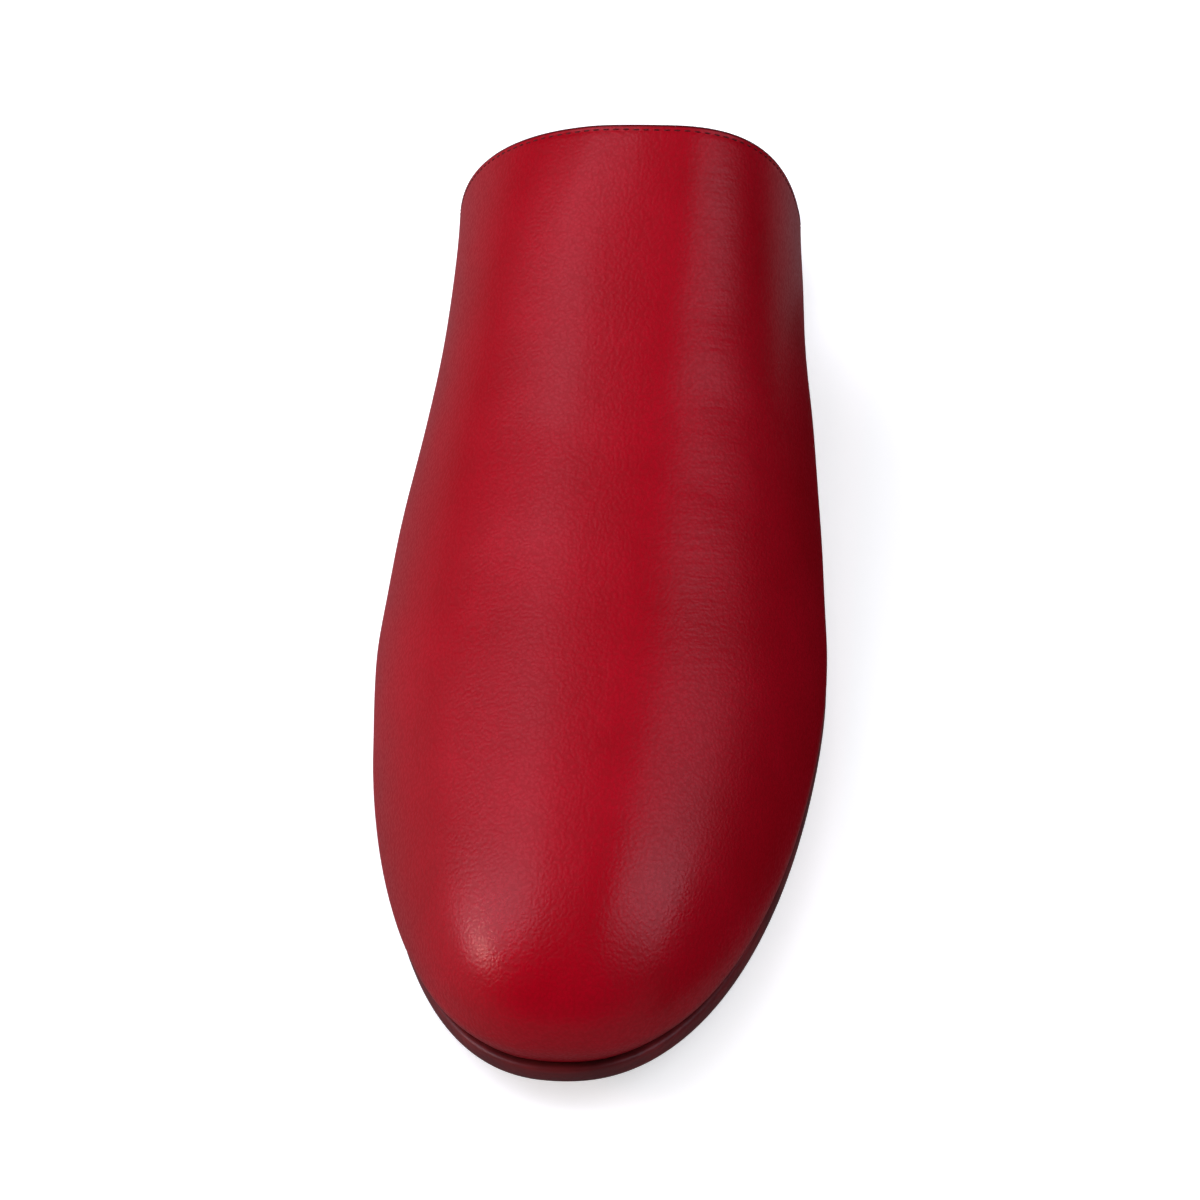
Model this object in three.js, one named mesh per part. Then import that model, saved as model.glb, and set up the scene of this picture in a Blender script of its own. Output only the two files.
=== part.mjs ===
// A backless, high-vamp leather mule for the right foot, in millimetres.
// +Z is up, the toe points along -Y and +X is the big toe's side.
// While it is built, y is the station from the toe.
import * as THREE from 'three';
import { mergeVertices } from 'three/addons/utils/BufferGeometryUtils.js';

// Driving dimensions
const LENGTH = 253; // outsole, toe to heel
const BALL_WIDTH = 92; // outsole, across the ball
const INSTEP_HEIGHT = 92.6; // floor to the top of the collar
const HEEL_HEIGHT = 14; // floor to the underside of the outsole at the heel seat
const TOE_SPRING = 10.5; // floor to the underside of the outsole at the tip
const SOLE_THICKNESS = 4.6;
const INSOLE_THICKNESS = 3;
const UPPER_WALL = 2.2; // leather and lining together
const TOP_LIFT_HEIGHT = 5; // rubber under the heel
const GAP = 0.3; // between pieces that meet

// Stations along the sole, from the toe
const TOE_ARC = 0.411 * LENGTH; // the toe's round end begins at the ball
const HEEL_ARC = 0.126 * LENGTH; // length of the heel's round end
const TREAD_FROM = 0.277 * LENGTH; // flat part of the forefoot
const TREAD_TO = 0.435 * LENGTH;
const SEAT_FROM = 0.79 * LENGTH; // flat heel seat
const HEEL_BREAST = 0.802 * LENGTH; // front of the heel
const SEAT_WIDENS = { from: 0.843 * LENGTH, to: 0.875 * LENGTH }; // the insole behind the upper's sides

const TOE_ROUND = { along: 1.7, across: 2.25 }; // exponents of the round ends, an ellipse having 2 and 2
const HEEL_ROUND = { along: 2.2, across: 2.2 };
const TIP_LEAN = -0.006; // of the ball width, the tip leans a little to the small toe's side
const TIP_ASIDE = TIP_LEAN * BALL_WIDTH;
const TIP_TURN = 3; // height above the feather edge at which the wall turns under at the tip
const TURN_EASE = 3; // exponent by which that height grows round the toe to the sides
const FEATHER_INSET = 1.8; // the upper's lower edge, inside the sole's edge
const INSOLE_CLEARANCE = 0.9; // between the insole and the wall round it, where the toe leans back
const SEAT_INSET = 1.2; // the insole's edge at the heel seat, inside the sole's edge
const SOLE_BEVEL = 0.8;
const INSOLE_BEVEL = 0.6;
const LIFT_BEVEL = 0.5;
const HEEL_INSET = { seat: 0.6, floor: 2 }; // the heel narrows towards the floor
const HEEL_LIFTS = ['heel_lift_low', 'heel_lift_high'];

const SLOPE_STEP = 0.5; // for the slope of the outline
const MERGE_WITHIN = 1e-3;
const SOLE_STEPS = 44; // along each side of the outsole and insole
const HEEL_STEPS = 18;
const ROWS_PER_SECTION = 3; // along the upper, between two sections of the table
const UPPER_COLUMNS = 44; // across the upper, from feather edge to feather edge
const CROWDING = 0.4; // how much the columns crowd towards the feather edges

// The sole between its round ends: station as a share of the length, half widths as shares of the ball width
const OUTLINE = [
  { station: 0.411, lateral: 0.5, medial: 0.5 },
  { station: 0.47, lateral: 0.494, medial: 0.489 },
  { station: 0.534, lateral: 0.475, medial: 0.457 },
  { station: 0.625, lateral: 0.427, medial: 0.397 },
  { station: 0.711, lateral: 0.379, medial: 0.35 },
  { station: 0.802, lateral: 0.348, medial: 0.337 },
  { station: 0.885, lateral: 0.343, medial: 0.343 },
];

// The upper's sections, from the collar to the feather edge at the toe. Each is a leaning hoop that stands on
// the sole's outline at foot and crosses the ridge at ridge, both shares of the length. rise is its height
// above the feather edge as a share of the collar's, crown and flank are the exponents of its round, upwards
// and sideways, and square multiplies both on the big toe's side. The rest are shares of the ball width: how
// far the ridge lies to the big toe's side, how far each side bulges past the sole, and how high above the
// feather edge its sides begin to turn under.
const SECTIONS = [
  {
    foot: 0.838, ridge: 0.715, rise: 1.0, crown: 2.8, flank: 2.1, square: 1.34,
    aside: 0.079, lateral: 0.072, medial: 0.059, turn: 0.348,
  },
  {
    foot: 0.747, ridge: 0.621, rise: 0.922, crown: 2.65, flank: 2.65, square: 1.1,
    aside: 0.06, lateral: 0.05, medial: 0.081, turn: 0.327,
  },
  {
    foot: 0.648, ridge: 0.526, rise: 0.867, crown: 2.55, flank: 2.55, square: 1,
    aside: 0.054, lateral: 0.028, medial: 0.075, turn: 0.283,
  },
  {
    foot: 0.557, ridge: 0.431, rise: 0.793, crown: 2.45, flank: 2.45, square: 1,
    aside: 0.042, lateral: 0.02, medial: 0.044, turn: 0.24,
  },
  {
    foot: 0.502, ridge: 0.336, rise: 0.703, crown: 2.33, flank: 2.37, square: 1,
    aside: 0.032, lateral: 0.018, medial: 0.027, turn: 0.196,
  },
  {
    foot: 0.466, ridge: 0.245, rise: 0.629, crown: 2.14, flank: 2.29, square: 1,
    aside: 0.027, lateral: 0.021, medial: 0.023, turn: 0.163,
  },
  {
    foot: 0.439, ridge: 0.162, rise: 0.541, crown: 1.92, flank: 2.23, square: 1,
    aside: 0.017, lateral: 0.019, medial: 0.022, turn: 0.147,
  },
  {
    foot: 0.423, ridge: 0.087, rise: 0.428, crown: 1.75, flank: TOE_ROUND.across, square: 1,
    aside: 0.006, lateral: 0.018, medial: 0.022, turn: 0.137,
  },
  {
    foot: 0.415, ridge: 0.034, rise: 0.299, crown: TOE_ROUND.along, flank: TOE_ROUND.across, square: 1,
    aside: TIP_LEAN, lateral: 0.02, medial: 0.022, turn: 0.13,
  },
  {
    foot: 0.412, ridge: 0.006, rise: 0.157, crown: TOE_ROUND.along, flank: TOE_ROUND.across, square: 1,
    aside: TIP_LEAN, lateral: 0.022, medial: 0.022, turn: 0.13,
  },
  {
    foot: 0.411, ridge: 0.0, rise: 0.0, crown: TOE_ROUND.along, flank: TOE_ROUND.across, square: 1,
    aside: TIP_LEAN, lateral: 0.022, medial: 0.022, turn: 0.13,
  },
];

const LATERAL = { column: 'lateral', sign: -1 };
const MEDIAL = { column: 'medial', sign: 1 };

const { clamp, lerp, smoothstep } = THREE.MathUtils;

// A smooth curve through the named columns of a table
function curveThrough(table, places, ending) {
  const columns = Object.keys(table[0]);
  const values = table.flatMap((row) => columns.map((column) => row[column]));
  const curve = new THREE.CubicInterpolant(places, values, columns.length);
  curve.settings = { endingStart: ending, endingEnd: ending };
  return (place) => {
    const found = curve.evaluate(place);
    return Object.fromEntries(columns.map((column, i) => [column, found[i]]));
  };
}

const outlineAt = curveThrough(OUTLINE, OUTLINE.map((row) => row.station), THREE.ZeroSlopeEnding);
const sectionAt = curveThrough(SECTIONS, SECTIONS.map((row, i) => i), THREE.ZeroCurvatureEnding);

// Height of the outsole's underside: toe spring, flat tread, shank curve and flat heel seat
function soleLift(station) {
  const spring = TOE_SPRING * Math.max(0, 1 - station / TREAD_FROM) ** 2;
  return spring + HEEL_HEIGHT * smoothstep(station, TREAD_TO, SEAT_FROM);
}

// Height at which the upper's lower edge and the insole stand
function featherHeight(station) {
  return soleLift(station) + SOLE_THICKNESS + GAP;
}

function roundEnd(share, round) {
  return (1 - share ** round.along) ** (1 / round.across);
}

function toeShare(station) {
  return clamp(1 - station / TOE_ARC, 0, 1);
}

function heelShare(station) {
  return clamp(1 - (LENGTH - station) / HEEL_ARC, 0, 1);
}

function middleWidth(side, station) {
  return outlineAt(station / LENGTH)[side.column] * BALL_WIDTH;
}

// Half width of the sole's outline on one side of the last's axis
function halfWidth(side, station) {
  const tip = side.sign * TIP_ASIDE;
  const toe = roundEnd(toeShare(station), TOE_ROUND);
  const heel = roundEnd(heelShare(station), HEEL_ROUND);
  return (tip + (middleWidth(side, station) - tip) * toe) * heel;
}

// Slope of a round end's outline at a point that reaches a share of its width and a share of its length
function roundSlope(width, widthShare, length, lengthShare, round) {
  return {
    across: (round.across * Math.max(0, widthShare) ** (round.across - 1)) / width,
    along: (round.along * lengthShare ** (round.along - 1)) / length,
  };
}

// Level direction away from the sole's middle, square to its outline
function outward(x, station) {
  const side = x < TIP_ASIDE ? LATERAL : MEDIAL;
  const toe = toeShare(station);
  const heel = heelShare(station);
  const middle = middleWidth(side, station);
  if (toe > 0) {
    const tip = side.sign * TIP_ASIDE;
    const width = middle - tip;
    const slope = roundSlope(width, (side.sign * x - tip) / width, TOE_ARC, toe, TOE_ROUND);
    return new THREE.Vector3(side.sign * slope.across, -slope.along, 0).normalize();
  }
  if (heel > 0) {
    const slope = roundSlope(middle, (side.sign * x) / middle, HEEL_ARC, heel, HEEL_ROUND);
    return new THREE.Vector3(side.sign * slope.across, slope.along, 0).normalize();
  }
  const ahead = halfWidth(side, station - SLOPE_STEP);
  const behind = halfWidth(side, station + SLOPE_STEP);
  return new THREE.Vector3(side.sign, (ahead - behind) / (2 * SLOPE_STEP), 0).normalize();
}

// A closed geometry from four-cornered faces, each split along its shorter diagonal
function solidFrom(faces) {
  const points = faces.flatMap(([a, b, c, d]) => (
    a.distanceTo(c) <= b.distanceTo(d) ? [a, b, c, a, c, d] : [a, b, d, b, c, d]
  ));
  const loose = new THREE.BufferGeometry().setFromPoints(points);
  const solid = mergeVertices(loose, MERGE_WITHIN);
  const kept = [];
  for (let i = 0; i < solid.index.count; i += 3) {
    const corners = [0, 1, 2].map((k) => solid.index.getX(i + k));
    if (new Set(corners).size === 3) kept.push(...corners);
  }
  solid.setIndex(kept);
  solid.computeVertexNormals();
  return solid;
}

// The sole's outline behind a station: up the medial side to the heel, then back along the lateral side
function edgeLoop(from, steps) {
  const start = Math.acos(1 - (2 * from) / LENGTH);
  const sideEdge = (side) => Array.from({ length: steps + 1 }, (_, i) => {
    const station = (LENGTH * (1 - Math.cos(lerp(start, Math.PI, i / steps)))) / 2;
    return new THREE.Vector3(side.sign * halfWidth(side, station), station, 0);
  });
  return [...sideEdge(MEDIAL), ...sideEdge(LATERAL).reverse()];
}

// A slab with the sole's outline. Its levels, from the bottom up, are rings with an inset and a height.
function slab(from, steps, levels) {
  const loop = edgeLoop(from, steps);
  const rings = levels.map(({ inset, height }) => loop.map((point) => {
    const moved = point.clone().addScaledVector(outward(point.x, point.y), -inset(point.y));
    moved.z = height(moved.y);
    return moved;
  }));
  const faces = [];
  for (let k = 0; k + 1 < rings.length; k += 1) {
    loop.forEach((_, i) => {
      const next = (i + 1) % loop.length;
      faces.push([rings[k][i], rings[k][next], rings[k + 1][next], rings[k + 1][i]]);
    });
  }
  const bottom = rings[0];
  const top = rings[rings.length - 1];
  for (let i = 0; i < steps; i += 1) {
    const across = loop.length - 1 - i;
    faces.push([top[i], top[i + 1], top[across - 1], top[across]]);
    faces.push([bottom[across], bottom[across - 1], bottom[i + 1], bottom[i]]);
  }
  return solidFrom(faces);
}

// The four levels of a slab with bevelled edges
function bevelledLevels(bevel, lowInset, highInset, lowHeight, highHeight) {
  return [
    { inset: (station) => lowInset(station) + bevel, height: lowHeight },
    { inset: lowInset, height: (station) => lowHeight(station) + bevel },
    { inset: highInset, height: (station) => highHeight(station) - bevel },
    { inset: (station) => highInset(station) + bevel, height: highHeight },
  ];
}

function outsole() {
  const flush = () => 0;
  const top = (station) => soleLift(station) + SOLE_THICKNESS;
  return slab(0, SOLE_STEPS, bevelledLevels(SOLE_BEVEL, flush, flush, soleLift, top));
}

// The insole lies inside the upper's wall, and reaches the edge of the heel seat behind it
function insole() {
  const insideUpper = FEATHER_INSET + UPPER_WALL + INSOLE_CLEARANCE;
  const inset = (station) => {
    const widened = smoothstep(station, SEAT_WIDENS.from, SEAT_WIDENS.to);
    return lerp(insideUpper, SEAT_INSET, widened);
  };
  const top = (station) => featherHeight(station) + INSOLE_THICKNESS;
  return slab(0, SOLE_STEPS, bevelledLevels(INSOLE_BEVEL, inset, inset, featherHeight, top));
}

function heelSlab(bottom, top) {
  const insetAt = (height) => lerp(HEEL_INSET.floor, HEEL_INSET.seat, height / HEEL_HEIGHT);
  const lowInset = () => insetAt(bottom);
  const highInset = () => insetAt(top);
  const levels = bevelledLevels(LIFT_BEVEL, lowInset, highInset, () => bottom, () => top);
  return slab(HEEL_BREAST, HEEL_STEPS, levels);
}

// A point of the upper's outer face: on its hoop, bulging past the sole and turned under at the feather edge
function upperPoint(row, angle) {
  const section = sectionAt(row);
  const side = angle < Math.PI / 2 ? LATERAL : MEDIAL;
  const square = side === MEDIAL ? section.square : 1;
  const up = Math.sin(angle) ** (2 / (section.crown * square));
  const out = Math.abs(Math.cos(angle)) ** (2 / (section.flank * square));
  const foot = section.foot * LENGTH;
  const collarRise = INSTEP_HEIGHT - featherHeight(SECTIONS[0].ridge * LENGTH);
  const rise = section.rise * collarRise * up;
  const x = lerp(section.aside * BALL_WIDTH, side.sign * halfWidth(side, foot), out);
  const station = lerp(foot, section.ridge * LENGTH, up);
  const turn = lerp(TIP_TURN, section.turn * BALL_WIDTH, out ** TURN_EASE);
  const turned = clamp(1 - rise / turn, 0, 1) ** 2;
  const bulge = lerp(section[side.column] * BALL_WIDTH * out, -FEATHER_INSET, turned);
  const point = new THREE.Vector3(x, station, 0).addScaledVector(outward(x, station), bulge);
  point.z = featherHeight(point.y) + rise;
  return point;
}

// The rows of the upper's outer face, collar to toe, each from the lateral feather edge to the medial one
function upperOuterFace(rows, columns) {
  const angles = Array.from({ length: columns + 1 }, (_, c) => {
    const turn = (2 * Math.PI * c) / columns;
    return clamp((turn - CROWDING * Math.sin(turn)) / 2, 0, Math.PI);
  });
  return Array.from({ length: rows + 1 }, (_, r) => (
    angles.map((angle) => upperPoint(r / ROWS_PER_SECTION, angle))
  ));
}

// The inner face lies one wall inside the outer one, and level with it along the feather edge
function upperInnerFace(outer, rows, columns) {
  return outer.map((line, r) => line.map((point, c) => {
    const onFeatherEdge = c === 0 || c === columns || r === rows;
    if (onFeatherEdge) {
      const moved = point.clone().addScaledVector(outward(point.x, point.y), -UPPER_WALL);
      moved.z = featherHeight(moved.y);
      return moved;
    }
    const along = outer[r + 1][c].clone().sub(outer[Math.max(r - 1, 0)][c]);
    const across = line[c + 1].clone().sub(line[c - 1]);
    return point.clone().addScaledVector(along.cross(across).normalize(), -UPPER_WALL);
  }));
}

// The upper: one hollow wall, open at the collar and back and along the sole
function upper() {
  const rows = (SECTIONS.length - 1) * ROWS_PER_SECTION;
  const columns = UPPER_COLUMNS;
  const outer = upperOuterFace(rows, columns);
  const inner = upperInnerFace(outer, rows, columns);
  const faces = [];
  for (let r = 0; r < rows; r += 1) {
    for (let c = 0; c < columns; c += 1) {
      faces.push([outer[r][c], outer[r + 1][c], outer[r + 1][c + 1], outer[r][c + 1]]);
      faces.push([inner[r][c + 1], inner[r + 1][c + 1], inner[r + 1][c], inner[r][c]]);
    }
  }
  const rim = [];
  for (let c = 0; c < columns; c += 1) rim.push([0, c]);
  for (let r = 0; r < rows; r += 1) rim.push([r, columns]);
  for (let c = columns; c > 0; c -= 1) rim.push([rows, c]);
  for (let r = rows; r > 0; r -= 1) rim.push([r, 0]);
  rim.forEach(([r, c], i) => {
    const [nextRow, nextColumn] = rim[(i + 1) % rim.length];
    faces.push([outer[r][c], outer[nextRow][nextColumn], inner[nextRow][nextColumn], inner[r][c]]);
  });
  return solidFrom(faces);
}

function addPiece(shoe, name, geometry, color, roughness) {
  const piece = new THREE.Mesh(geometry, new THREE.MeshStandardMaterial({ color, roughness, metalness: 0 }));
  piece.name = name;
  shoe.add(piece);
}

function mule() {
  const shoe = new THREE.Group();
  addPiece(shoe, 'upper', upper(), 0x9e1421, 0.35);
  addPiece(shoe, 'insole', insole(), 0xb98d63, 0.6);
  addPiece(shoe, 'outsole', outsole(), 0x4a241c, 0.55);
  addPiece(shoe, 'heel_top_lift', heelSlab(0, TOP_LIFT_HEIGHT), 0x1d1a19, 0.85);
  const stack = HEEL_HEIGHT - TOP_LIFT_HEIGHT - GAP;
  const pitch = stack / HEEL_LIFTS.length;
  HEEL_LIFTS.forEach((name, i) => {
    const bottom = TOP_LIFT_HEIGHT + GAP + i * pitch;
    addPiece(shoe, name, heelSlab(bottom, bottom + pitch - GAP), 0x4a241c, 0.55);
  });
  const middle = new THREE.Box3().setFromObject(shoe).getCenter(new THREE.Vector3());
  shoe.position.set(-middle.x, -middle.y, 0);
  return shoe;
}

export default mule();
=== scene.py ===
# Red leather mule, right shoe: leather, lining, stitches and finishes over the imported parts, in metres
import math

import bmesh
import bpy
import numpy as np
from mathutils import Matrix, Quaternion, Vector
from mathutils.bvhtree import BVHTree


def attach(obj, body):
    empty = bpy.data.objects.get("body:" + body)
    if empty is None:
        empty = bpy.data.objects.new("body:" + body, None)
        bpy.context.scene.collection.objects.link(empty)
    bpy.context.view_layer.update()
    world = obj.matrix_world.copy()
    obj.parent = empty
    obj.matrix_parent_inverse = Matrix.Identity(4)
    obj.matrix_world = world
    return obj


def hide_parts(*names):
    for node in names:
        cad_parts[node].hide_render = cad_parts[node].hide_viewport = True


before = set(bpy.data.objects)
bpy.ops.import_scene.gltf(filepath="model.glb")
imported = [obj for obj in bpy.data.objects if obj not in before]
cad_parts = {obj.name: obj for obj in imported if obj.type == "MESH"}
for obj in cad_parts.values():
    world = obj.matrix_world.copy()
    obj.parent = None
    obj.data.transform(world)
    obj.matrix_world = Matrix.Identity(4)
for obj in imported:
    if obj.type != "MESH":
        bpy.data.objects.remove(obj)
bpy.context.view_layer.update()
mm = 0.001
print("frame:", len(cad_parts), "parts")


# Selecting and copying

copying = {
    "mergeWithin": 0.01 * mm,
    "anyAngle": 180,        # degrees, two triangles that make one four-cornered face
}


def pickOnly(piece):
    bpy.ops.object.select_all(action="DESELECT")
    piece.select_set(True)
    bpy.context.view_layer.objects.active = piece


def openMesh(piece, kind="FACE"):
    pickOnly(piece)
    bpy.ops.object.mode_set(mode="EDIT")
    bpy.ops.mesh.select_mode(type=kind)
    bpy.ops.mesh.select_all(action="DESELECT")
    return bmesh.from_edit_mesh(piece.data)


def closeMesh():
    bpy.ops.object.mode_set(mode="OBJECT")


def selectFaces(piece, wanted):
    mesh = bmesh.from_edit_mesh(piece.data)
    for face in mesh.faces:
        face.select_set(wanted(face))
    bmesh.update_edit_mesh(piece.data)


def selectEdges(piece, wanted):
    mesh = bmesh.from_edit_mesh(piece.data)
    for edge in mesh.edges:
        edge.select_set(wanted(edge))
    bmesh.update_edit_mesh(piece.data)


def copyNode(nodeName, pieceName):
    pickOnly(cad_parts[nodeName])
    bpy.ops.object.duplicate()
    piece = bpy.context.active_object
    piece.name = pieceName
    piece.data.name = pieceName
    piece.parent = None
    for key in list(piece.keys()):
        del piece[key]
    piece.data.materials.clear()
    bpy.ops.mesh.customdata_custom_splitnormals_clear()
    openMesh(piece)
    bpy.ops.mesh.select_all(action="SELECT")
    bpy.ops.mesh.remove_doubles(threshold=copying["mergeWithin"])
    closeMesh()
    return piece


def pairTriangles(piece):
    openMesh(piece)
    bpy.ops.mesh.select_all(action="SELECT")
    bpy.ops.mesh.tris_convert_to_quads(
        face_threshold=math.radians(copying["anyAngle"]),
        shape_threshold=math.radians(copying["anyAngle"]),
    )
    closeMesh()


def applyModifier(piece, kind, **settings):
    pickOnly(piece)
    modifier = piece.modifiers.new(kind.lower(), kind)
    for name, value in settings.items():
        setattr(modifier, name, value)
    bpy.ops.object.modifier_apply(modifier=modifier.name)


def smoothOut(piece, levels):
    applyModifier(piece, "SUBSURF", levels=levels, render_levels=levels, boundary_smooth="PRESERVE_CORNERS")
    bpy.ops.object.shade_smooth()


def sheetArea(sheet):
    return sum(face.area for face in sheet.data.polygons)


def meshPlaces(piece):
    places = np.empty(len(piece.data.vertices) * 3)
    piece.data.vertices.foreach_get("co", places)
    return places.reshape(-1, 3)


def setPlaces(piece, places):
    piece.data.vertices.foreach_set("co", places.ravel())
    piece.data.update()


def meshNormals(piece):
    normals = np.empty(len(piece.data.vertices) * 3)
    piece.data.vertex_normals.foreach_get("vector", normals)
    return normals.reshape(-1, 3)


# Upper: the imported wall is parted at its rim, and its outer sheet carries the leather and the lining

upperSizes = {
    "rimAngle": 40,                 # degrees, edges of the wall's rim
    "wall": 2.2 * mm,
    "leather": 1.3 * mm,
    "lining": 0.8 * mm,
    "between": 0.1 * mm,            # leather to lining
    "liningDrop": 0.9 * mm,         # the lining ends below the leather's edge
    "edgeCuts": 4,                  # extra rows of faces along the topline
    "firstSmoothing": 1,            # levels, of the sheet alone
    "lastSmoothing": 1,             # levels, of the leather and lining made from it
    "formRounds": 4,
    "outerFacing": 0.4,             # how nearly a face looks the sheet's way to count as its outer side
}


def rimOf(mesh):
    return [vert for vert in mesh.verts if vert.is_boundary]


def findCollarEnds(sheet):
    # the rearmost low corners of the sheet, on the little toe's side and on the big toe's side
    mesh = openMesh(sheet, "VERT")
    rim = rimOf(mesh)
    ends = []
    for side in (-1, 1):
        sideRim = [vert for vert in rim if vert.co.x * side > 0]
        ends.append(max(sideRim, key=lambda vert: vert.co.y - vert.co.z).co.copy())
    closeMesh()
    return ends


def rimLoop(mesh):
    # the sheet's rim, from the collar's lateral end over the instep and round by the toe
    rim = rimOf(mesh)
    feet = [min(rim, key=lambda vert: (vert.co - end).length) for end in collarEnds]
    loop = [feet[0]]
    while True:
        ways = [edge.other_vert(loop[-1]) for edge in loop[-1].link_edges if edge.is_boundary]
        if len(loop) == 1:
            loop.append(max(ways, key=lambda vert: vert.co.z))
            continue
        onward = [vert for vert in ways if vert is not loop[-2]][0]
        if onward is loop[0]:
            return loop, loop.index(feet[1])
        loop.append(onward)


def thirdCorner(face, edge):
    return [vert for vert in face.verts if vert not in edge.verts][0]


def dissolveDiagonals(sheet):
    # walks the sheet row by row from the collar, and leaves four-cornered faces only
    mesh = openMesh(sheet, "EDGE")
    loop, columns = rimLoop(mesh)
    rows = len(loop) // 2 - columns
    row = loop[:columns + 1]
    passed = set()
    diagonals = []
    for r in range(rows):
        nextRow = [loop[-1 - r]]
        for c in range(columns):
            edge = mesh.edges.get((row[c], row[c + 1]))
            face = [face for face in edge.link_faces if face not in passed][0]
            corner = thirdCorner(face, edge)
            if corner is nextRow[c]:
                diagonal = mesh.edges.get((row[c + 1], corner))
                beyond = [other for other in diagonal.link_faces if other is not face][0]
                nextRow.append(thirdCorner(beyond, diagonal))
            else:
                diagonal = mesh.edges.get((row[c], corner))
                nextRow.append(corner)
            passed.update(diagonal.link_faces)
            diagonals.append(diagonal)
        row = nextRow
    for diagonal in diagonals:
        diagonal.select_set(True)
    bmesh.update_edit_mesh(sheet.data)
    bpy.ops.mesh.dissolve_edges(use_verts=False)
    closeMesh()


def partUpper():
    wall = copyNode("upper", "upperLeather")
    openMesh(wall, "EDGE")
    bpy.ops.mesh.edges_select_sharp(sharpness=math.radians(upperSizes["rimAngle"]))
    bpy.ops.mesh.edge_split(type="EDGE")
    bpy.ops.mesh.separate(type="LOOSE")
    closeMesh()
    sheets = sorted(bpy.context.selected_objects, key=sheetArea, reverse=True)
    for strip in sheets[1:]:
        bpy.data.objects.remove(strip)
    sheets[0].name = "upperLeather"
    return sheets[0]


def copySheet(sheet, pieceName):
    pickOnly(sheet)
    bpy.ops.object.duplicate()
    piece = bpy.context.active_object
    piece.name = pieceName
    piece.data.name = pieceName
    return piece


def keepForm(sheet):
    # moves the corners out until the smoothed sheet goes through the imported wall's own points
    wanted = meshPlaces(sheet)
    held = wanted.copy()
    for k in range(upperSizes["formRounds"]):
        guide = copySheet(sheet, "formGuide")
        smoothOut(guide, upperSizes["firstSmoothing"] + upperSizes["lastSmoothing"])
        missed = wanted - meshPlaces(guide)[:len(wanted)]
        bpy.data.objects.remove(guide)
        held += missed
        setPlaces(sheet, held)
        furthest = np.linalg.norm(missed, axis=1).max() / mm
        print("form:", round(float(furthest), 3), "mm off before round", k + 1)
    smoothOut(sheet, upperSizes["firstSmoothing"])


def collarOf(mesh):
    loop, columns = rimLoop(mesh)
    return loop[:columns + 1]


def nextRowOf(vert, collar):
    return [edge.other_vert(vert) for edge in vert.link_edges if edge.other_vert(vert) not in collar][0]


def readTopline(sheet):
    # the smooth line of the leather's edge: its points, the way down the leather and the way out of it
    guide = copySheet(sheet, "toplineGuide")
    smoothOut(guide, upperSizes["lastSmoothing"])
    mesh = openMesh(guide, "VERT")
    collar = collarOf(mesh)
    line = []
    for vert in collar:
        inward = (nextRowOf(vert, collar).co - vert.co).normalized()
        line.append({"place": vert.co.copy(), "inward": inward, "out": vert.normal.copy()})
    closeMesh()
    bpy.data.objects.remove(guide)
    return line


def cutEdgeRows(sheet):
    mesh = openMesh(sheet, "EDGE")
    collar = set(collarOf(mesh))
    selectEdges(sheet, lambda edge: (edge.verts[0] in collar) != (edge.verts[1] in collar))
    bpy.ops.mesh.subdivide(number_cuts=upperSizes["edgeCuts"])
    closeMesh()


def makeLining(sheet):
    lining = copySheet(sheet, "upperLining")
    mesh = openMesh(lining, "VERT")
    collar = collarOf(mesh)
    for vert in collar:
        vert.co += (nextRowOf(vert, collar).co - vert.co).normalized() * upperSizes["liningDrop"]
    bmesh.update_edit_mesh(lining.data)
    closeMesh()
    applyModifier(lining, "DISPLACE", strength=-upperSizes["leather"] - upperSizes["between"], mid_level=0)
    applyModifier(lining, "SOLIDIFY", thickness=upperSizes["lining"], offset=-1)
    smoothOut(lining, upperSizes["lastSmoothing"])
    return lining


def makeLeather(sheet):
    cutEdgeRows(sheet)
    applyModifier(sheet, "SOLIDIFY", thickness=upperSizes["leather"], offset=-1)
    smoothOut(sheet, upperSizes["lastSmoothing"])
    return sheet


upperLeather = partUpper()
collarEnds = findCollarEnds(upperLeather)
dissolveDiagonals(upperLeather)
keepForm(upperLeather)
topline = readTopline(upperLeather)
upperLining = makeLining(upperLeather)
makeLeather(upperLeather)
for piece in (upperLeather, upperLining):
    print("upper:", piece.name, len(piece.data.polygons), "faces")


# Soft creases and the edge's seam, worked into the outer side of the leather

creases = [
    # ends in plan, half width and depth in mm; a ridge has a negative depth
    {"start": (13, 17), "end": (33, 25), "half": 3.2, "depth": 0.16},
    {"start": (14, 9), "end": (33, 15), "half": 3.0, "depth": -0.10},
    {"start": (13, 1), "end": (34, 6), "half": 3.4, "depth": 0.18},
    {"start": (15, -9), "end": (35, -4), "half": 3.2, "depth": -0.10},
    {"start": (14, -18), "end": (36, -13), "half": 3.6, "depth": 0.15},
    {"start": (-20, -4), "end": (2, -9), "half": 5.0, "depth": 0.10},
    {"start": (-24, -30), "end": (-2, -36), "half": 5.5, "depth": 0.10},
]
seam = {
    "fromEdge": 1.3 * mm,
    "groove": 0.14 * mm,
    "half": 0.45 * mm,
    "darkRimSpan": (0.7 * mm, 1.05 * mm),  # from the middle of the rim, where the rim's darker colour fades and ends
}
fineCreases = {
    # mm, along the instep's side
    "line": [(21, 46, 85), (22, 23, 74), (24, -2, 64), (25, -27, 57), (24, -50, 51)],
    "half": 9 * mm,
}
toePolish = {
    "spots": [(-14, -110, 36), (19, -102, 37)],     # mm
    "half": 13 * mm,
}


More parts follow.
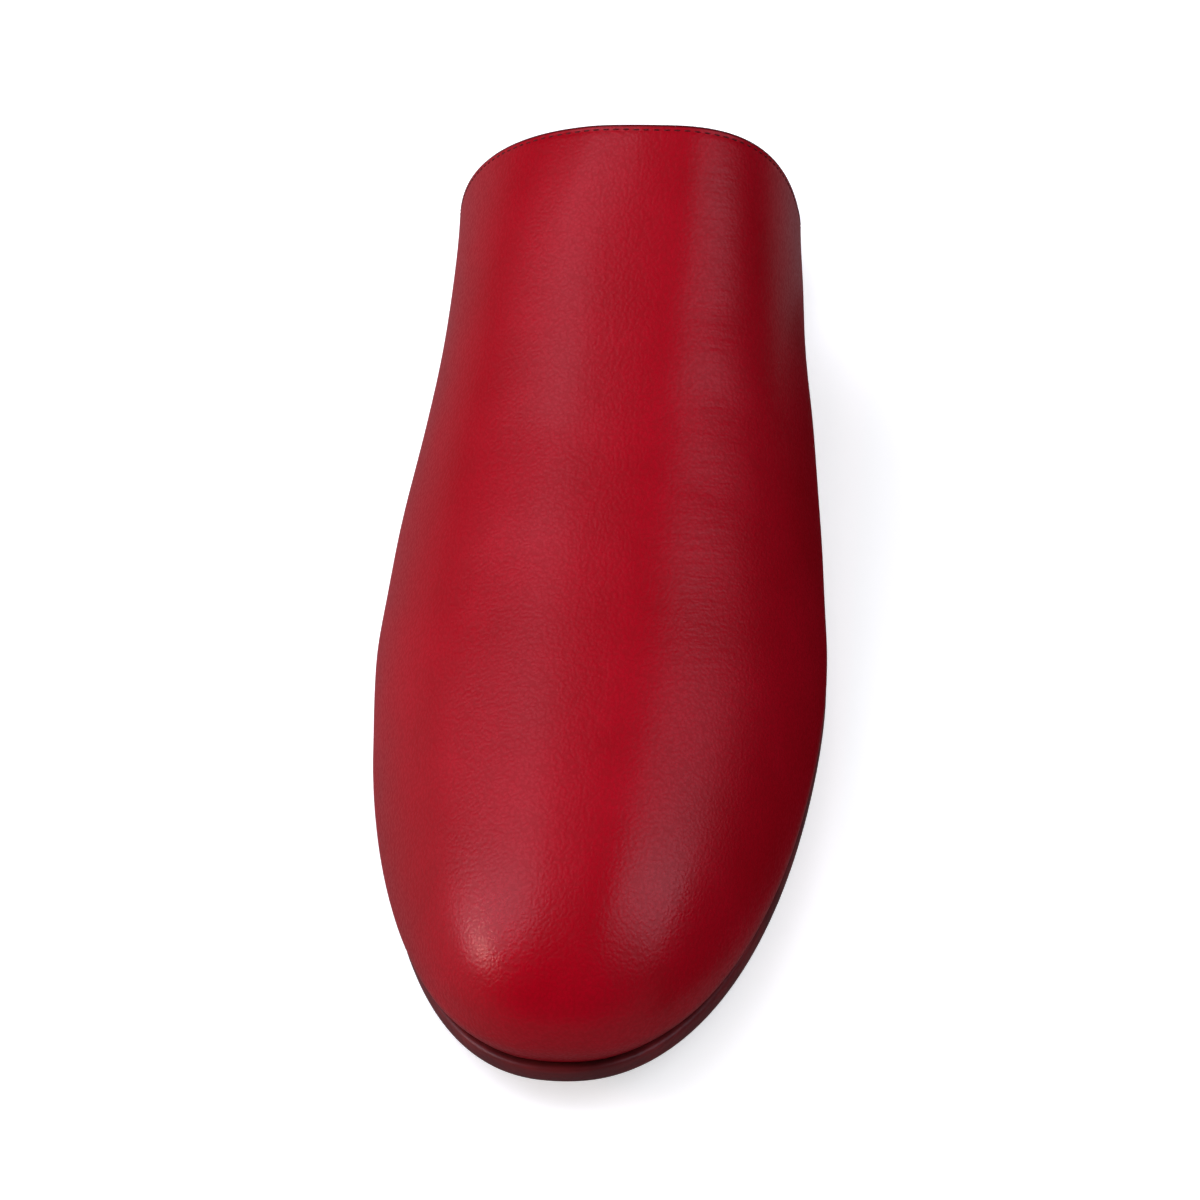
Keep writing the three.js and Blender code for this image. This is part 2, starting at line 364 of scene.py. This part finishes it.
def awayFromLine(places, line):
    # distance to a run of straight stretches
    line = np.array([tuple(point) for point in line])
    nearest = np.full(len(places), np.inf)
    for start, end in zip(line[:-1], line[1:]):
        stretch = end - start
        share = np.clip((places - start) @ stretch / (stretch @ stretch), 0, 1)
        nearest = np.minimum(nearest, np.linalg.norm(places - start - share[:, None] * stretch, axis=1))
    return nearest


def bell(distance, half):
    return np.exp(-((distance / half) ** 2))


def ramp(values, low, high):
    return np.clip((values - low) / (high - low), 0, 1)


def paint(piece, name, values):
    layer = piece.data.attributes.new(name, "FLOAT", "POINT")
    layer.data.foreach_set("value", values.astype(np.float32))


def outerSide(piece, sheetTree):
    # 1 where the face looks the way of the sheet that the piece was made from
    sides = []
    for vert, normal in zip(piece.data.vertices, meshNormals(piece)):
        found = sheetTree.find_nearest(vert.co)
        sides.append(1.0 if found[1].dot(Vector(normal)) > upperSizes["outerFacing"] else 0.0)
    return np.array(sides)


def creaseDepths(places):
    # each crease is deepest at its middle and fades to its ends
    depths = np.zeros(len(places))
    plan = places[:, :2]
    for crease in creases:
        start, end = np.array([crease["start"], crease["end"]]) * mm
        stretch = end - start
        share = (plan - start) @ stretch / (stretch @ stretch)
        fade = np.clip(1 - (2 * share - 1) ** 2, 0, 1)
        across = awayFromLine(plan, [start, end])
        depths += crease["depth"] * mm * bell(across, crease["half"] * mm) * fade
    return depths


def workLeather(piece):
    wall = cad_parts["upper"].data
    wallCorners = [vert.co for vert in wall.vertices]
    wallTree = BVHTree.FromPolygons(wallCorners, [face.vertices[:] for face in wall.polygons])
    places = meshPlaces(piece)
    fromEdge = awayFromLine(places, [point["place"] for point in topline])
    sink = creaseDepths(places) + seam["groove"] * bell(fromEdge - seam["fromEdge"], seam["half"])
    setPlaces(piece, places - meshNormals(piece) * (sink * outerSide(piece, wallTree))[:, None])
    rimMiddle = [point["place"] - point["out"] * upperSizes["leather"] / 2 for point in topline]
    # the topline's rim is painted darker than the rest of the leather
    paint(piece, "rimDarkening", 1 - ramp(awayFromLine(places, rimMiddle), *seam["darkRimSpan"]))
    fine = np.array(fineCreases["line"]) * mm
    paint(piece, "fineCreases", bell(awayFromLine(places, fine), fineCreases["half"]))
    spots = [np.linalg.norm(places - np.array(spot) * mm, axis=1) for spot in toePolish["spots"]]
    paint(piece, "toePolish", bell(np.minimum(*spots), toePolish["half"]))


workLeather(upperLeather)
print("creases:", len(creases), "and the seam's groove")


# Stitches along the topline, one row on the leather and the same row on the lining

stitch = {
    "pitch": 2.1 * mm,
    "length": 1.75 * mm,
    "thread": 0.42 * mm,
    "flat": 0.8,                    # height of the thread by its width
    "dip": 0.6,                     # of the thread, at the ends
    "dipPower": 4,                  # how late along the stitch the dip begins
    "segments": 8,
    "rings": 6,
    "ends": 3.5 * mm,               # bare stretch at each foot of the row
    "lookAhead": 0.5 * mm,          # each way along the row, to find its direction
}


def nearestOn(piece, wantedPlaces):
    tree = BVHTree.FromObject(piece, bpy.context.evaluated_depsgraph_get())
    return [tree.find_nearest(place)[:2] for place in wantedPlaces]


def oneStitch():
    bpy.ops.object.select_all(action="DESELECT")
    bpy.ops.mesh.primitive_uv_sphere_add(segments=stitch["segments"], ring_count=stitch["rings"], radius=0.5)
    master = bpy.context.active_object
    openMesh(master, "VERT")
    bpy.ops.mesh.select_all(action="SELECT")
    bpy.ops.transform.rotate(value=math.pi / 2, orient_axis="Y", center_override=(0, 0, 0))
    bpy.ops.transform.resize(value=(stitch["length"], stitch["thread"], stitch["thread"] * stitch["flat"]))
    closeMesh()
    for vert in master.data.vertices:          # the ends dip into the holes
        fromMiddle = 2 * vert.co.x / stitch["length"]
        vert.co.z -= stitch["thread"] * stitch["dip"] * fromMiddle ** stitch["dipPower"]
    bpy.ops.object.shade_smooth()
    return master


def layStitches(pieceName, row):
    # a stitch at each pitch along the row, lying on its surface
    places = np.array([place for place, normal in row])
    normals = np.array([normal for place, normal in row])
    run = np.concatenate([[0], np.cumsum(np.linalg.norm(np.diff(places, axis=0), axis=1))])
    count = int((run[-1] - 2 * stitch["ends"]) / stitch["pitch"])
    first = (run[-1] - count * stitch["pitch"]) / 2

    def valueAt(along, table):
        return Vector([np.interp(along, run, column) for column in table.T])

    master = oneStitch()
    copies = []
    for k in range(count + 1):
        along = first + k * stitch["pitch"]
        ahead = valueAt(along + stitch["lookAhead"], places)
        behind = valueAt(along - stitch["lookAhead"], places)
        forward = (ahead - behind).normalized()
        side = valueAt(along, normals).cross(forward).normalized()
        turn = Matrix((forward, side, forward.cross(side))).transposed().to_4x4()
        copy = master.copy()
        copy.data = master.data.copy()
        copy.data.transform(Matrix.Translation(valueAt(along, places)) @ turn)
        bpy.context.scene.collection.objects.link(copy)
        copies.append(copy)
    bpy.data.objects.remove(master)
    bpy.ops.object.select_all(action="DESELECT")
    for copy in copies:
        copy.select_set(True)
    bpy.context.view_layer.objects.active = copies[0]
    bpy.ops.object.join()
    copies[0].name = pieceName
    copies[0].data.name = pieceName
    print("stitches:", pieceName, count + 1)
    return copies[0]


seamLine = [point["place"] + point["inward"] * seam["fromEdge"] for point in topline]
leatherRow = nearestOn(upperLeather, seamLine)
liningRow = nearestOn(upperLining, [place - normal * upperSizes["wall"] for place, normal in leatherRow])
toplineStitches = layStitches("toplineStitches", leatherRow)
liningStitches = layStitches("liningStitches", liningRow)


# Sole, insole and heel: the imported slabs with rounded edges

slabSizes = {
    "leatherOutsole": {"node": "outsole", "inset": 1.4 * mm, "undyed": 1.5 * mm},
    "leatherInsole": {"node": "insole", "inset": 1.2 * mm},
    "heelLiftHigh": {"node": "heel_lift_high", "inset": 0.5 * mm},
    "heelLiftLow": {"node": "heel_lift_low", "inset": 0.5 * mm},
    "heelTopLift": {"node": "heel_top_lift", "inset": 0.8 * mm},
}
rounding = {
    "levels": 2,
    "flatFrom": 0.9,                # a face this level is part of the slab's top or underside
    "breastAngle": 70,              # degrees, upright edges at the heel's front that stay sharp
    "underside": (0.3, 0.8),        # how far a face looks down where the worn underside begins and is whole
}


def markUndyed(slab):
    mesh = bmesh.from_edit_mesh(slab.data)
    undyed = mesh.faces.layers.int.new("undyed")
    for face in mesh.faces:
        face[undyed] = int(face.select)
    bmesh.update_edit_mesh(slab.data)


def roundSlab(pieceName):
    sizes = slabSizes[pieceName]
    slab = copyNode(sizes["node"], pieceName)
    pairTriangles(slab)
    for side in (-1, 1):
        openMesh(slab)
        selectFaces(slab, lambda face: face.normal.z * side > rounding["flatFrom"])
        bpy.ops.mesh.inset(thickness=sizes["inset"], use_even_offset=True)
        if side > 0 and "undyed" in sizes:
            # the bare top under the insole; the second inset holds the mark's line in place
            bpy.ops.mesh.inset(thickness=sizes["undyed"], use_even_offset=True)
            markUndyed(slab)
            bpy.ops.mesh.inset(thickness=sizes["undyed"], use_even_offset=True)
        closeMesh()
    openMesh(slab, "EDGE")
    upright = math.radians(rounding["breastAngle"])
    selectEdges(slab, lambda edge: edge.calc_face_angle(0) > upright)
    bpy.ops.transform.edge_crease(value=1)
    closeMesh()
    smoothOut(slab, rounding["levels"])
    paint(slab, "underside", ramp(-meshNormals(slab)[:, 2], *rounding["underside"]))
    print("slab:", pieceName, len(slab.data.polygons), "faces")
    return slab


slabs = {pieceName: roundSlab(pieceName) for pieceName in slabSizes}


# Materials

def feed(tree, socket, value):
    if isinstance(value, bpy.types.NodeSocket):
        tree.links.new(value, socket)
    else:
        socket.default_value = value


def feedAll(tree, node, inputs):
    for name, value in inputs.items():
        feed(tree, node.inputs[name], value)


def addNode(tree, kind, inputs, **settings):
    node = tree.nodes.new(kind)
    for name, value in settings.items():
        setattr(node, name, value)
    feedAll(tree, node, inputs)
    return node


def mixColours(tree, factor, first, second):
    node = addNode(tree, "ShaderNodeMix", {}, data_type="RGBA")
    for number, value in ((0, factor), (6, first), (7, second)):    # the sockets of a colour mix
        feed(tree, node.inputs[number], value)
    return node.outputs[2]


def remap(tree, value, low, high, fromLow=0.0, fromHigh=1.0):
    node = addNode(tree, "ShaderNodeMapRange", {
        "Value": value, "From Min": fromLow, "From Max": fromHigh, "To Min": low, "To Max": high,
    })
    return node.outputs["Result"]


def mathNode(tree, operation, first, second):
    node = addNode(tree, "ShaderNodeMath", {0: first, 1: second}, operation=operation)
    return node.outputs[0]


def noise(tree, place, scale, detail):
    return addNode(tree, "ShaderNodeTexNoise", {"Vector": place, "Scale": scale, "Detail": detail})


def bumpFrom(tree, height, depth, strength, under=None):
    node = addNode(tree, "ShaderNodeBump", {"Height": height, "Distance": depth, "Strength": strength})
    if under is not None:
        feed(tree, node.inputs["Normal"], under)
    return node.outputs["Normal"]


def painted(tree, name):
    return addNode(tree, "ShaderNodeAttribute", {}, attribute_name=name).outputs["Fac"]


def objectPlace(tree):
    return tree.nodes.new("ShaderNodeTexCoord").outputs["Object"]


grainSizes = {
    "warpScale": 0.45,              # of the pebbles' scale
    "warpDetail": 1.0,
    "warp": (0.6 * mm, 0.6 * mm, 0.6 * mm),         # how far the pebbles are pushed out of line
    "pebbleFall": (0.25, 0.75),     # where a pebble starts and ends to fall off
    "fineScale": 2.6,
    "fineDetail": 2.0,
    "fineShare": 0.5,
    "toneDetail": 3.0,
    "toneRoughness": 0.55,
    "toneFrom": (0.3, 0.7),
}


def leatherGrainGroup():
    # pebbled grain with pores, and slow changes of tone: per metre, how many pebbles and patches
    group = bpy.data.node_groups.new("leatherGrain", "ShaderNodeTree")
    group.interface.new_socket("Vector", in_out="INPUT", socket_type="NodeSocketVector")
    for name in ("Pebbles", "Patches"):
        group.interface.new_socket(name, in_out="INPUT", socket_type="NodeSocketFloat")
    for name in ("Height", "Valleys", "Tone"):
        group.interface.new_socket(name, in_out="OUTPUT", socket_type="NodeSocketFloat")
    given = group.nodes.new("NodeGroupInput").outputs
    made = group.nodes.new("NodeGroupOutput")
    place, pebbles = given["Vector"], given["Pebbles"]
    warpScale = mathNode(group, "MULTIPLY", pebbles, grainSizes["warpScale"])
    warp = noise(group, place, warpScale, grainSizes["warpDetail"]).outputs["Color"]
    shifted = addNode(
        group, "ShaderNodeVectorMath", {0: warp, 1: grainSizes["warp"], 2: place}, operation="MULTIPLY_ADD",
    ).outputs[0]
    cells = addNode(group, "ShaderNodeTexVoronoi", {"Vector": shifted, "Scale": pebbles}, feature="F1")
    fineScale = mathNode(group, "MULTIPLY", pebbles, grainSizes["fineScale"])
    fine = noise(group, place, fineScale, grainSizes["fineDetail"]).outputs["Fac"]
    valleys = remap(group, cells.outputs["Distance"], 0.0, 1.0, *grainSizes["pebbleFall"])
    domes = mathNode(group, "SUBTRACT", 1.0, valleys)
    pores = mathNode(group, "MULTIPLY", fine, grainSizes["fineShare"])
    tone = noise(group, place, given["Patches"], grainSizes["toneDetail"])
    tone.inputs["Roughness"].default_value = grainSizes["toneRoughness"]
    feedAll(group, made, {
        "Height": mathNode(group, "ADD", domes, pores),
        "Valleys": valleys,
        "Tone": remap(group, tone.outputs["Fac"], 0.0, 1.0, *grainSizes["toneFrom"]),
    })
    return group


leatherGrain = leatherGrainGroup()


def startMaterial(name, look):
    material = bpy.data.materials.new(name)
    material.use_nodes = True
    tree = material.node_tree
    tree.nodes.clear()
    output = tree.nodes.new("ShaderNodeOutputMaterial")
    shader = tree.nodes.new("ShaderNodeBsdfPrincipled")
    tree.links.new(shader.outputs["BSDF"], output.inputs["Surface"])
    grain = tree.nodes.new("ShaderNodeGroup")
    grain.node_tree = leatherGrain
    feedAll(tree, grain, {
        "Vector": objectPlace(tree), "Pebbles": look["pebbles"], "Patches": look["patches"],
    })
    return material, tree, shader, grain.outputs


redCalf = {
    "red": (0.36, 0.0008, 0.0095, 1),
    "deepRed": (0.29, 0.0004, 0.0060, 1),
    "valley": (0.20, 0.0003, 0.0030, 1),
    # the colour along the topline's rim, darker than the leather
    "rimDarkening": (0.035, 0.0015, 0.002, 1),
    "valleyTint": 0.35,
    "valleyDulling": 0.25,
    "roughness": (0.34, 0.40),
    "polish": 0.14,                 # how much smoother the toe's rubbed spots are
    "pebbles": 1350,                # per metre
    "patches": 38,
    "grainDepth": 0.030 * mm,
    "grainStrength": 1.0,
    "creaseDepth": 0.16 * mm,
    "creaseStrength": 1.0,
    "creaseDetail": 2.0,
    "creaseLean": 41,               # degrees, the wrinkles lie across the instep's slope
    "creaseStretch": 7.0,           # how many times longer than wide they are
    "creasesPerMetre": 700,
    "specular": 0.36,
    "coat": 0.06,
    "coatRoughness": 0.2,
}


def makeRedCalf():
    material, tree, shader, grain = startMaterial("redCalf", redCalf)
    toned = mixColours(tree, grain["Tone"], redCalf["deepRed"], redCalf["red"])
    inValleys = mathNode(tree, "MULTIPLY", grain["Valleys"], redCalf["valleyTint"])
    grained = mixColours(tree, inValleys, toned, redCalf["valley"])
    gloss = remap(tree, grain["Tone"], *redCalf["roughness"])
    dulled = mathNode(tree, "ADD", gloss, mathNode(tree, "MULTIPLY", inValleys, redCalf["valleyDulling"]))
    rubbed = mathNode(tree, "MULTIPLY", painted(tree, "toePolish"), redCalf["polish"])
    # fine wrinkles that lie across the instep's side
    stretched = addNode(tree, "ShaderNodeMapping", {
        "Vector": objectPlace(tree),
        "Rotation": (math.radians(redCalf["creaseLean"]), 0, 0),
        "Scale": (redCalf["creaseStretch"], 1, redCalf["creaseStretch"]),
    }, vector_type="TEXTURE").outputs[0]
    wrinkles = noise(tree, stretched, redCalf["creasesPerMetre"], redCalf["creaseDetail"]).outputs["Fac"]
    wrinkled = mathNode(tree, "MULTIPLY", wrinkles, painted(tree, "fineCreases"))
    under = bumpFrom(tree, wrinkled, redCalf["creaseDepth"], redCalf["creaseStrength"])
    feedAll(tree, shader, {
        # darker along the topline's rim
        "Base Color": mixColours(tree, painted(tree, "rimDarkening"), grained, redCalf["rimDarkening"]),
        "Roughness": mathNode(tree, "SUBTRACT", dulled, rubbed),
        "Normal": bumpFrom(tree, grain["Height"], redCalf["grainDepth"], redCalf["grainStrength"], under),
        "Specular IOR Level": redCalf["specular"],
        "Coat Weight": redCalf["coat"],
        "Coat Roughness": redCalf["coatRoughness"],
    })
    return material


tanLeather = {
    "light": (0.50, 0.29, 0.15, 1),
    "dark": (0.40, 0.22, 0.11, 1),
    "valley": (0.26, 0.13, 0.06, 1),
    "valleyTint": 0.3,
    "roughness": (0.55, 0.66),
    "pebbles": 1100,
    "patches": 26,
    "grainDepth": 0.04 * mm,
    "grainStrength": 1.0,
}


def makeTanLeather():
    material, tree, shader, grain = startMaterial("tanLeather", tanLeather)
    toned = mixColours(tree, grain["Tone"], tanLeather["dark"], tanLeather["light"])
    inValleys = mathNode(tree, "MULTIPLY", grain["Valleys"], tanLeather["valleyTint"])
    feedAll(tree, shader, {
        "Base Color": mixColours(tree, inValleys, toned, tanLeather["valley"]),
        "Roughness": remap(tree, grain["Tone"], *tanLeather["roughness"]),
        "Normal": bumpFrom(tree, grain["Height"], tanLeather["grainDepth"], tanLeather["grainStrength"]),
    })
    return material


soleEdge = {
    "brown": (0.150, 0.014, 0.016, 1),
    "dark": (0.062, 0.007, 0.008, 1),
    "underside": (0.16, 0.065, 0.038, 1),
    "undyed": (0.40, 0.22, 0.11, 1),
    "edgeShade": (0.05, 0.55),
    "wear": (0.75, 1.0),            # of the underside, from patch to patch
    "roughness": (0.34, 0.5),
    "pebbles": 900,
    "patches": 60,
    "grainDepth": 0.03 * mm,
    "grainStrength": 0.7,
    "fibreDepth": 0.05 * mm,
    "fibreStrength": 0.6,
    "fibreDetail": 3.0,
    "fibresPerMetre": 1600,
    "fibreStretch": (0.06, 0.06, 1.0),
}


def makeSoleEdge():
    material, tree, shader, grain = startMaterial("soleEdge", soleEdge)
    # pressed fibres run level round the edge
    stretched = addNode(tree, "ShaderNodeMapping", {
        "Vector": objectPlace(tree), "Scale": soleEdge["fibreStretch"],
    }).outputs[0]
    fibres = noise(tree, stretched, soleEdge["fibresPerMetre"], soleEdge["fibreDetail"]).outputs["Fac"]
    shade = remap(tree, mathNode(tree, "MULTIPLY", grain["Tone"], fibres), 0.0, 1.0, *soleEdge["edgeShade"])
    edged = mixColours(tree, shade, soleEdge["dark"], soleEdge["brown"])
    wear = remap(tree, grain["Tone"], *soleEdge["wear"])
    worn = mathNode(tree, "MULTIPLY", painted(tree, "underside"), wear)
    shaded = mixColours(tree, worn, edged, soleEdge["underside"])
    under = bumpFrom(tree, fibres, soleEdge["fibreDepth"], soleEdge["fibreStrength"])
    feedAll(tree, shader, {
        "Base Color": mixColours(tree, painted(tree, "undyed"), shaded, soleEdge["undyed"]),
        "Roughness": remap(tree, fibres, *soleEdge["roughness"]),
        "Normal": bumpFrom(tree, grain["Height"], soleEdge["grainDepth"], soleEdge["grainStrength"], under),
    })
    return material


heelRubber = {
    "black": (0.012, 0.011, 0.011, 1),
    "grey": (0.022, 0.021, 0.020, 1),
    "roughness": (0.62, 0.78),
    "pebbles": 1300,
    "patches": 70,
    "grainDepth": 0.05 * mm,
    "grainStrength": 0.8,
}


def makeHeelRubber():
    material, tree, shader, grain = startMaterial("heelRubber", heelRubber)
    feedAll(tree, shader, {
        "Base Color": mixColours(tree, grain["Tone"], heelRubber["black"], heelRubber["grey"]),
        "Roughness": remap(tree, grain["Valleys"], *heelRubber["roughness"]),
        "Normal": bumpFrom(tree, grain["Height"], heelRubber["grainDepth"], heelRubber["grainStrength"]),
    })
    return material


thread = {
    "red": (0.10, 0.003, 0.007, 1),
    "shade": (0.05, 0.002, 0.003, 1),
    "tan": (0.42, 0.25, 0.13, 1),
    "tanShade": (0.22, 0.12, 0.06, 1),
    "roughness": (0.45, 0.6),
    "pebbles": 3200,                # per metre, the thread's twists
    "patches": 90,
    "twistDepth": 0.05 * mm,
    "twistStrength": 0.8,
}


def makeThread(name, light, shade):
    material, tree, shader, grain = startMaterial(name, thread)
    feedAll(tree, shader, {
        "Base Color": mixColours(tree, grain["Valleys"], light, shade),
        "Roughness": remap(tree, grain["Tone"], *thread["roughness"]),
        "Normal": bumpFrom(tree, grain["Height"], thread["twistDepth"], thread["twistStrength"]),
    })
    return material


calf = makeRedCalf()
tan = makeTanLeather()
brown = makeSoleEdge()
rubber = makeHeelRubber()
redThread = makeThread("redThread", thread["red"], thread["shade"])
tanThread = makeThread("tanThread", thread["tan"], thread["tanShade"])
print("materials:", len(bpy.data.materials))


# What each piece wears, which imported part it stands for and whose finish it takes

wardrobe = [
    (upperLeather, calf, ("upper",), "upper_leather"),
    (upperLining, tan, (), "insole_leather"),
    (toplineStitches, redThread, (), "upper_leather"),
    (liningStitches, tanThread, (), "insole_leather"),
    (slabs["leatherInsole"], tan, ("insole",), "insole_leather"),
    (slabs["leatherOutsole"], brown, ("outsole",), "sole_leather"),
    (slabs["heelLiftHigh"], brown, ("heel_lift_high",), "sole_leather"),
    (slabs["heelLiftLow"], brown, ("heel_lift_low",), "sole_leather"),
    (slabs["heelTopLift"], rubber, ("heel_top_lift",), "heel_rubber"),
]
for piece, finish, nodes, slotName in wardrobe:
    piece.data.materials.clear()
    piece.data.materials.append(finish)
    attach(piece, "root")
    if nodes:
        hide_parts(*nodes)
print("pieces:", len(wardrobe))


# Studio: pale floor, soft boxes on both sides, wide soft light from above, a small lamp for the toe
# and two dark cards on the right, painted shade that only reflections and bounced light see

floorSizes = {
    "side": 8.0,
    "pale": (0.93, 0.93, 0.93, 1),
    "cast": (0.19, 0.18, 0.18, 1),       # what the floor throws back at the leather
    "lift": 0.47,                        # keeps the shadows on the floor pale
}
coolWhite = (0.93, 0.92, 1.12)
warm = (1.0, 0.55, 0.45)
softBoxes = {
    "leftBox": {"from": (-0.84, -0.10, 0.75), "wide": 0.58, "tall": 1.50, "watts": 4.9, "shines": True},
    "rearLeftBox": {"from": (-0.38, 0.21, 1.05), "wide": 0.42, "tall": 0.40, "watts": 0.45, "shines": True},
    "rightBox": {"from": (0.87, -0.05, 0.72), "wide": 0.60, "tall": 1.05, "watts": 2.7, "shines": True},
    "topBox": {"from": (-0.75, 0.35, 1.50), "wide": 1.60, "tall": 1.60, "watts": 8.0, "shines": False},
    "toeLamp": {
        "from": (-0.84, -0.24, 0.36), "wide": 0.12, "tall": 0.12, "watts": 1.1, "shines": True,
        "colour": warm,
    },
}
skyFill = {"from": (-0.25, -0.60, 1.0), "spread": 150, "strength": 2.3}     # soft light, spread in degrees
aim = Vector((0.0, -0.03, 0.04))
darkCards = {
    "standing": [(0.105, -0.14, 0.0), (0.105, 0.16, 0.03), (0.105, -0.14, 0.03), (0.105, 0.16, 0.105)],
    "lying": [(0.05, -0.14, 0.0005), (0.20, -0.14, 0.0005), (0.05, 0.10, 0.0005), (0.20, 0.10, 0.0005)],
}
# painted shade: the cards' dark colour stands in for the shade a second shoe beside this one brings to the
# right
reflectedShade = (0.02, 0.002, 0.003, 1)
air = (0.93, 0.93, 0.93, 1)          # what shows beyond the floor
matt = {"Roughness": 1.0, "Specular IOR Level": 0.2}


def mattMaterial(name, colour):
    material = bpy.data.materials.new(name)
    material.use_nodes = True
    shader = material.node_tree.nodes["Principled BSDF"]
    feedAll(material.node_tree, shader, {"Base Color": colour, **matt})
    return material


def makeFloor():
    bpy.ops.object.select_all(action="DESELECT")
    bpy.ops.mesh.primitive_plane_add(size=floorSizes["side"])
    floor = bpy.context.active_object
    floor.name = "studioFloor"
    material = mattMaterial("paleFloor", floorSizes["pale"])
    tree = material.node_tree
    seen = tree.nodes.new("ShaderNodeLightPath").outputs["Is Camera Ray"]
    feedAll(tree, tree.nodes["Principled BSDF"], {
        "Base Color": mixColours(tree, seen, floorSizes["cast"], floorSizes["pale"]),
        "Emission Color": floorSizes["pale"],
        "Emission Strength": mathNode(tree, "MULTIPLY", seen, floorSizes["lift"]),
    })
    floor.data.materials.append(material)


def hangLight(lamp, way, shines):
    # the camera never sees it, and the gloss shows it only where it shines
    light = bpy.data.objects.new(lamp.name, lamp)
    bpy.context.scene.collection.objects.link(light)
    light.rotation_mode = "QUATERNION"
    light.rotation_quaternion = way.to_track_quat("-Z", "Y")
    light.visible_camera = False
    light.visible_glossy = shines
    lamp.cycles.use_multiple_importance_sampling = shines
    return light


def makeSoftBox(name, box):
    lamp = bpy.data.lights.new(name, "AREA")
    lamp.shape = "RECTANGLE"
    lamp.size = box["wide"]
    lamp.size_y = box["tall"]
    lamp.energy = box["watts"]
    lamp.color = box.get("colour", coolWhite)
    light = hangLight(lamp, aim - Vector(box["from"]), box["shines"])
    light.location = box["from"]


def makeSkyFill():
    lamp = bpy.data.lights.new("skyFill", "SUN")
    lamp.angle = math.radians(skyFill["spread"])
    lamp.energy = skyFill["strength"]
    hangLight(lamp, -Vector(skyFill["from"]), False)


def makeDarkCard(name, corners):
    bpy.ops.object.select_all(action="DESELECT")
    bpy.ops.mesh.primitive_plane_add(size=1)
    card = bpy.context.active_object
    card.name = name + "Card"
    for vert, corner in zip(card.data.vertices, corners):
        vert.co = corner
    card.data.materials.append(mattMaterial(name + "Cloth", reflectedShade))
    # hidden from the camera and from shadows, the card only darkens the leather's reflections and bounced
    # light
    card.visible_camera = False
    card.visible_shadow = False


def makeAir():
    world = bpy.data.worlds.new("studioAir")
    bpy.context.scene.world = world
    world.use_nodes = True
    world.node_tree.nodes["Background"].inputs["Color"].default_value = air
    world.cycles_visibility.diffuse = False
    world.cycles_visibility.glossy = False


makeFloor()
for name, box in softBoxes.items():
    makeSoftBox(name, box)
makeSkyFill()
for name, corners in darkCards.items():
    makeDarkCard(name, corners)
makeAir()
bpy.context.scene.view_settings.view_transform = "Standard"
print("studio:", len(softBoxes), "soft boxes,", len(darkCards), "dark cards")


# Camera: about a metre off, high in front of the toe and a little to the big toe's side

cameraPlace = {
    "from": (0.08365, -0.64865, 0.75471),
    "aim": (0.00122, -0.02874, 0.04),
    "lens": 142.0,
    "roll": -3.97,                  # degrees
    "clip": (0.01, 50),
}


def makeCamera():
    lens = bpy.data.cameras.new("frontCamera")
    lens.lens = cameraPlace["lens"]
    camera = bpy.data.objects.new("frontCamera", lens)
    bpy.context.scene.collection.objects.link(camera)
    camera.location = cameraPlace["from"]
    camera.rotation_mode = "QUATERNION"
    way = Vector(cameraPlace["aim"]) - Vector(cameraPlace["from"])
    roll = Quaternion((0, 0, 1), math.radians(cameraPlace["roll"]))
    camera.rotation_quaternion = way.to_track_quat("-Z", "Y") @ roll
    lens.clip_start, lens.clip_end = cameraPlace["clip"]
    bpy.context.scene.camera = camera


makeCamera()
